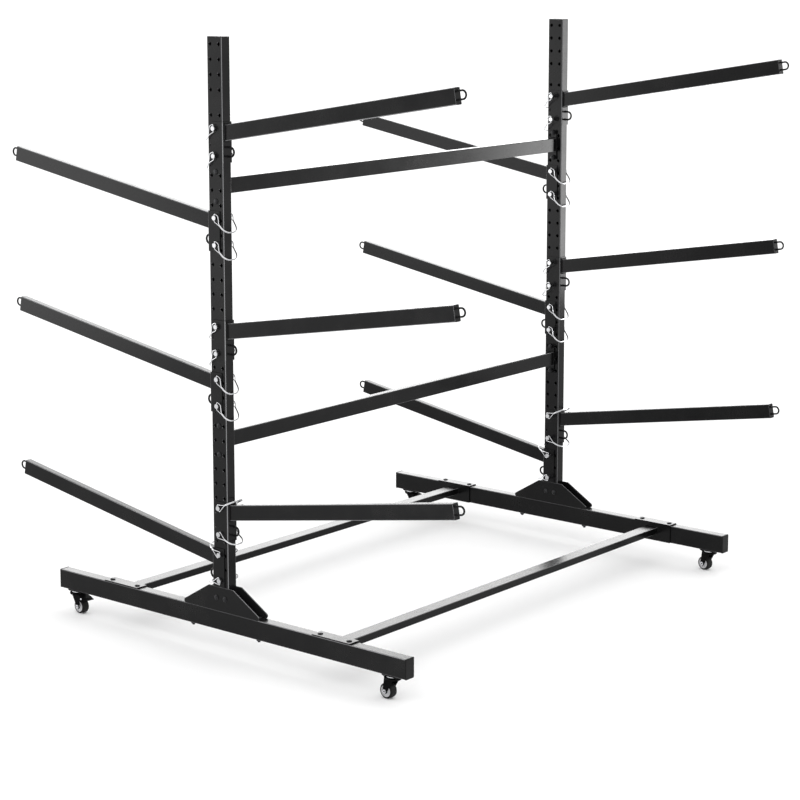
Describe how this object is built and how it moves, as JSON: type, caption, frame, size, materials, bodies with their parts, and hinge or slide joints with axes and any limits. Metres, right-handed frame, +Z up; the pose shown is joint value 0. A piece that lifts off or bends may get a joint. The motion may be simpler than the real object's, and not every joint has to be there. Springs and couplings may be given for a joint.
{
  "type": "freestanding kayak rack",
  "caption": "Freestanding double-sided rack on swivel casters, with tilted cantilever arms held on perforated uprights by wire-lock pins, for storing kayaks.",
  "frame": {"origin": "on the floor, under the middle of the rack", "axes": "+X along the foot beams towards the side with the higher arms, +Y from the upright whose pin heads face outwards to the other upright, +Z up"},
  "size_m": [1.974, 1.9164, 2.0067],
  "materials": {
    "black_powder_coat": "satin powder coat",
    "zinc_pin": "bright zinc plate",
    "spring_wire": "bright spring wire",
    "black_plastic": "matte moulded",
    "black_bolt": "black oxide",
    "caster_steel": "black enamel",
    "caster_wheel": "rubber tread on a grey core"
  },
  "bodies": {
    "frame": {"foot_beam_front": "black_powder_coat", "foot_beam_rear": "black_powder_coat", "end_caps": "black_plastic", "base_crossbar_left": "black_powder_coat", "base_crossbar_right": "black_powder_coat", "upright_feet": "black_powder_coat", "upright_front": "black_powder_coat", "upright_rear": "black_powder_coat", "upper_crossbar": "black_powder_coat", "lower_crossbar": "black_powder_coat", "bolts_and_nuts": "black_bolt", "caster_plates": "caster_steel", "arm_fr_top": "black_powder_coat", "arm_fr_mid": "black_powder_coat", "arm_fr_low": "black_powder_coat", "arm_fl_top": "black_powder_coat", "arm_fl_mid": "black_powder_coat", "arm_fl_low": "black_powder_coat", "arm_rr_top": "black_powder_coat", "arm_rr_mid": "black_powder_coat", "arm_rr_low": "black_powder_coat", "arm_rl_top": "black_powder_coat", "arm_rl_mid": "black_powder_coat", "arm_rl_low": "black_powder_coat"},
    "pins_fr_top": {"pins_fr_top": "zinc_pin"},
    "pins_fr_mid": {"pins_fr_mid": "zinc_pin"},
    "pins_fr_low": {"pins_fr_low": "zinc_pin"},
    "pins_fl_top": {"pins_fl_top": "zinc_pin"},
    "pins_fl_mid": {"pins_fl_mid": "zinc_pin"},
    "pins_fl_low": {"pins_fl_low": "zinc_pin"},
    "pins_rr_top": {"pins_rr_top": "zinc_pin"},
    "pins_rr_mid": {"pins_rr_mid": "zinc_pin"},
    "pins_rr_low": {"pins_rr_low": "zinc_pin"},
    "pins_rl_top": {"pins_rl_top": "zinc_pin"},
    "pins_rl_mid": {"pins_rl_mid": "zinc_pin"},
    "pins_rl_low": {"pins_rl_low": "zinc_pin"},
    "wires_fr_top": {"wires_fr_top": "spring_wire"},
    "wires_fr_mid": {"wires_fr_mid": "spring_wire"},
    "wire_fr_low_upper": {"wire_fr_low_upper": "spring_wire"},
    "wire_fr_low_lower": {"wire_fr_low_lower": "spring_wire"},
    "wires_fl_top": {"wires_fl_top": "spring_wire"},
    "wires_fl_mid": {"wires_fl_mid": "spring_wire"},
    "wire_fl_low_upper": {"wire_fl_low_upper": "spring_wire"},
    "wire_fl_low_lower": {"wire_fl_low_lower": "spring_wire"},
    "wires_rr_top": {"wires_rr_top": "spring_wire"},
    "wires_rr_mid": {"wires_rr_mid": "spring_wire"},
    "wire_rr_low_upper": {"wire_rr_low_upper": "spring_wire"},
    "wire_rr_low_lower": {"wire_rr_low_lower": "spring_wire"},
    "wires_rl_top": {"wires_rl_top": "spring_wire"},
    "wires_rl_mid": {"wires_rl_mid": "spring_wire"},
    "wire_rl_low_upper": {"wire_rl_low_upper": "spring_wire"},
    "wire_rl_low_lower": {"wire_rl_low_lower": "spring_wire"},
    "caster_fork_fr": {"caster_fork_fr": "caster_steel"},
    "caster_fork_fl": {"caster_fork_fl": "caster_steel"},
    "caster_fork_rr": {"caster_fork_rr": "caster_steel"},
    "caster_fork_rl": {"caster_fork_rl": "caster_steel"},
    "wheel_fr": {"wheel_fr": "caster_wheel"},
    "wheel_fl": {"wheel_fl": "caster_wheel"},
    "wheel_rr": {"wheel_rr": "caster_wheel"},
    "wheel_rl": {"wheel_rl": "caster_wheel"}
  },
  "joints": [
    {"name": "swivel_fr", "type": "hinge", "parent": "frame", "child": "caster_fork_fr", "pos_m": [0.71, -0.9144, 0.068], "axis": [0, 0, 1], "continuous": true},
    {"name": "roll_fr", "type": "hinge", "parent": "caster_fork_fr", "child": "wheel_fr", "pos_m": [0.69101, -0.91374, 0.025], "axis": [-0.0349, -0.9994, 0], "continuous": true},
    {"name": "swivel_rr", "type": "hinge", "parent": "frame", "child": "caster_fork_rr", "pos_m": [0.71, 0.9144, 0.068], "axis": [0, 0, 1], "continuous": true},
    {"name": "roll_rr", "type": "hinge", "parent": "caster_fork_rr", "child": "wheel_rr", "pos_m": [0.69123, 0.91737, 0.025], "axis": [-0.1564, -0.9877, 0], "continuous": true},
    {"name": "swivel_fl", "type": "hinge", "parent": "frame", "child": "caster_fork_fl", "pos_m": [-0.71, -0.9144, 0.068], "axis": [0, 0, 1], "continuous": true},
    {"name": "roll_fl", "type": "hinge", "parent": "caster_fork_fl", "child": "wheel_fl", "pos_m": [-0.69107, -0.91606, 0.025], "axis": [0.0872, 0.9962, 0], "continuous": true},
    {"name": "swivel_rl", "type": "hinge", "parent": "frame", "child": "caster_fork_rl", "pos_m": [-0.71, 0.9144, 0.068], "axis": [0, 0, 1], "continuous": true},
    {"name": "roll_rl", "type": "hinge", "parent": "caster_fork_rl", "child": "wheel_rl", "pos_m": [-0.69101, 0.91374, 0.025], "axis": [0.0349, 0.9994, 0], "continuous": true},
    {"name": "pull_pins_fr_top", "type": "slide", "parent": "frame", "child": "pins_fr_top", "axis": [0, -1, 0], "range_m": [0, 0.09]},
    {"name": "swing_wires_fr_top", "type": "hinge", "parent": "pins_fr_top", "child": "wires_fr_top", "pos_m": [0, -0.943, 1.676], "axis": [0, 0, 1], "range_deg": [0, 180]},
    {"name": "pull_pins_fr_mid", "type": "slide", "parent": "frame", "child": "pins_fr_mid", "axis": [0, -1, 0], "range_m": [0, 0.09]},
    {"name": "swing_wires_fr_mid", "type": "hinge", "parent": "pins_fr_mid", "child": "wires_fr_mid", "pos_m": [0, -0.943, 1.0427], "axis": [0, 0, 1], "range_deg": [0, 180]},
    {"name": "pull_pins_fr_low", "type": "slide", "parent": "frame", "child": "pins_fr_low", "axis": [0, -1, 0], "range_m": [0, 0.09]},
    {"name": "swing_wire_fr_low_upper", "type": "hinge", "parent": "pins_fr_low", "child": "wire_fr_low_upper", "pos_m": [0, -0.943, 0.4911], "axis": [0.454, 0, -0.891], "range_deg": [0, 180]},
    {"name": "swing_wire_fr_low_lower", "type": "hinge", "parent": "pins_fr_low", "child": "wire_fr_low_lower", "pos_m": [0, -0.943, 0.4039], "axis": [-0.454, 0, -0.891], "range_deg": [0, 180]},
    {"name": "pull_pins_fl_top", "type": "slide", "parent": "frame", "child": "pins_fl_top", "axis": [0, -1, 0], "range_m": [0, 0.09]},
    {"name": "swing_wires_fl_top", "type": "hinge", "parent": "pins_fl_top", "child": "wires_fl_top", "pos_m": [0, -0.943, 1.3927], "axis": [0, 0, -1], "range_deg": [0, 180]},
    {"name": "pull_pins_fl_mid", "type": "slide", "parent": "frame", "child": "pins_fl_mid", "axis": [0, -1, 0], "range_m": [0, 0.09]},
    {"name": "swing_wires_fl_mid", "type": "hinge", "parent": "pins_fl_mid", "child": "wires_fl_mid", "pos_m": [0, -0.943, 0.8717], "axis": [0, 0, -1], "range_deg": [0, 180]},
    {"name": "pull_pins_fl_low", "type": "slide", "parent": "frame", "child": "pins_fl_low", "axis": [0, -1, 0], "range_m": [0, 0.09]},
    {"name": "swing_wire_fl_low_upper", "type": "hinge", "parent": "pins_fl_low", "child": "wire_fl_low_upper", "pos_m": [0, -0.943, 0.3351], "axis": [0.454, 0, 0.891], "range_deg": [0, 180]},
    {"name": "swing_wire_fl_low_lower", "type": "hinge", "parent": "pins_fl_low", "child": "wire_fl_low_lower", "pos_m": [0, -0.943, 0.2479], "axis": [-0.225, 0, 0.9744], "range_deg": [0, 180]},
    {"name": "pull_pins_rr_top", "type": "slide", "parent": "frame", "child": "pins_rr_top", "axis": [0, -1, 0], "range_m": [0, 0.09]},
    {"name": "swing_wires_rr_top", "type": "hinge", "parent": "pins_rr_top", "child": "wires_rr_top", "pos_m": [0, 0.8728, 1.676], "axis": [0, 0, 1], "range_deg": [0, 180]},
    {"name": "pull_pins_rr_mid", "type": "slide", "parent": "frame", "child": "pins_rr_mid", "axis": [0, -1, 0], "range_m": [0, 0.09]},
    {"name": "swing_wires_rr_mid", "type": "hinge", "parent": "pins_rr_mid", "child": "wires_rr_mid", "pos_m": [0, 0.8728, 1.0427], "axis": [0, 0, 1], "range_deg": [0, 180]},
    {"name": "pull_pins_rr_low", "type": "slide", "parent": "frame", "child": "pins_rr_low", "axis": [0, -1, 0], "range_m": [0, 0.09]},
    {"name": "swing_wire_rr_low_upper", "type": "hinge", "parent": "pins_rr_low", "child": "wire_rr_low_upper", "pos_m": [0, 0.8728, 0.4911], "axis": [0.454, 0, -0.891], "range_deg": [0, 180]},
    {"name": "swing_wire_rr_low_lower", "type": "hinge", "parent": "pins_rr_low", "child": "wire_rr_low_lower", "pos_m": [0, 0.8728, 0.4039], "axis": [-0.454, 0, -0.891], "range_deg": [0, 180]},
    {"name": "pull_pins_rl_top", "type": "slide", "parent": "frame", "child": "pins_rl_top", "axis": [0, -1, 0], "range_m": [0, 0.09]},
    {"name": "swing_wires_rl_top", "type": "hinge", "parent": "pins_rl_top", "child": "wires_rl_top", "pos_m": [0, 0.8728, 1.3927], "axis": [0, 0, -1], "range_deg": [0, 180]},
    {"name": "pull_pins_rl_mid", "type": "slide", "parent": "frame", "child": "pins_rl_mid", "axis": [0, -1, 0], "range_m": [0, 0.09]},
    {"name": "swing_wires_rl_mid", "type": "hinge", "parent": "pins_rl_mid", "child": "wires_rl_mid", "pos_m": [0, 0.8728, 0.8717], "axis": [0, 0, -1], "range_deg": [0, 180]},
    {"name": "pull_pins_rl_low", "type": "slide", "parent": "frame", "child": "pins_rl_low", "axis": [0, -1, 0], "range_m": [0, 0.09]},
    {"name": "swing_wire_rl_low_upper", "type": "hinge", "parent": "pins_rl_low", "child": "wire_rl_low_upper", "pos_m": [0, 0.8728, 0.3351], "axis": [0.454, 0, 0.891], "range_deg": [0, 180]},
    {"name": "swing_wire_rl_low_lower", "type": "hinge", "parent": "pins_rl_low", "child": "wire_rl_low_lower", "pos_m": [0, 0.8728, 0.2479], "axis": [-0.225, 0, 0.9744], "range_deg": [0, 180]}
  ],
  "couplings": [
    {"joint": "swing_wires_fr_top", "follows": "pull_pins_fr_top", "rad_per_m": 34.9},
    {"joint": "swing_wires_fr_mid", "follows": "pull_pins_fr_mid", "rad_per_m": 34.9},
    {"joint": "swing_wire_fr_low_upper", "follows": "pull_pins_fr_low", "rad_per_m": 34.9},
    {"joint": "swing_wire_fr_low_lower", "follows": "pull_pins_fr_low", "rad_per_m": 34.9},
    {"joint": "swing_wires_fl_top", "follows": "pull_pins_fl_top", "rad_per_m": 34.9},
    {"joint": "swing_wires_fl_mid", "follows": "pull_pins_fl_mid", "rad_per_m": 34.9},
    {"joint": "swing_wire_fl_low_upper", "follows": "pull_pins_fl_low", "rad_per_m": 34.9},
    {"joint": "swing_wire_fl_low_lower", "follows": "pull_pins_fl_low", "rad_per_m": 34.9},
    {"joint": "swing_wires_rr_top", "follows": "pull_pins_rr_top", "rad_per_m": 34.9},
    {"joint": "swing_wires_rr_mid", "follows": "pull_pins_rr_mid", "rad_per_m": 34.9},
    {"joint": "swing_wire_rr_low_upper", "follows": "pull_pins_rr_low", "rad_per_m": 34.9},
    {"joint": "swing_wire_rr_low_lower", "follows": "pull_pins_rr_low", "rad_per_m": 34.9},
    {"joint": "swing_wires_rl_top", "follows": "pull_pins_rl_top", "rad_per_m": 34.9},
    {"joint": "swing_wires_rl_mid", "follows": "pull_pins_rl_mid", "rad_per_m": 34.9},
    {"joint": "swing_wire_rl_low_upper", "follows": "pull_pins_rl_low", "rad_per_m": 34.9},
    {"joint": "swing_wire_rl_low_lower", "follows": "pull_pins_rl_low", "rad_per_m": 34.9}
  ]
}
